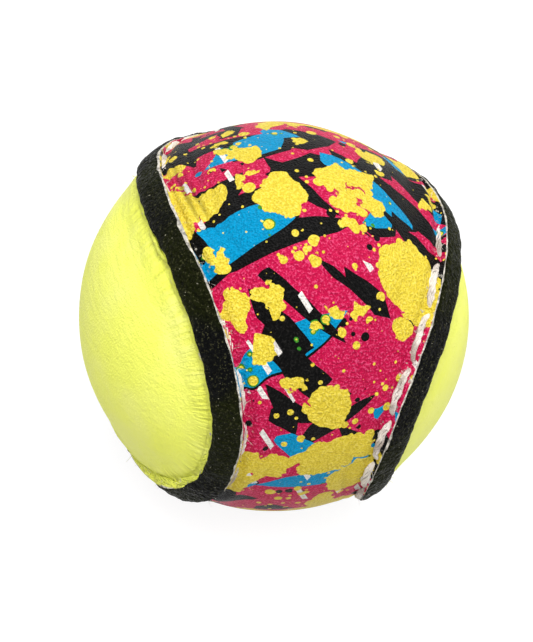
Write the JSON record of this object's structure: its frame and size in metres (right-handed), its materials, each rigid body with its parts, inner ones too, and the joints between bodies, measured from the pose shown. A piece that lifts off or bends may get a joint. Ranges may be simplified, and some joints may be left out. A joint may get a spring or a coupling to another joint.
{
  "type": "rimmed leather ball",
  "caption": "Hand-sized hurling ball: a wound cork core under a yellow and a printed leather panel, saddle-stitched together through a raised black rim.",
  "frame": {"origin": "the ball's centre", "axes": "+Y runs from the waist of the printed panel to the waist of the yellow panel, +Z points to the middle of one printed lobe and +X to the middle of one yellow lobe"},
  "size_m": [0.0696, 0.0706, 0.0696],
  "materials": {
    "cork": "ground cork",
    "wool": "tightly wound grey wool yarn",
    "cotton": "hard wound cotton yarn",
    "latex": "dried latex dip",
    "printed_leather": "grained leather with a many-coloured splatter print",
    "yellow_leather": "grained fluorescent yellow leather",
    "black_edge_coat": "matte black brushed edge coat",
    "waxed_thread": "waxed pale multi-strand thread"
  },
  "bodies": {
    "root": {"cork_core": "cork", "wool_winding": "wool", "cotton_winding": "cotton", "latex_coat": "latex", "printed_panel": "printed_leather", "yellow_panel": "yellow_leather", "rim_coat": "black_edge_coat", "first_thread": "waxed_thread", "second_thread": "waxed_thread"}
  },
  "joints": []
}
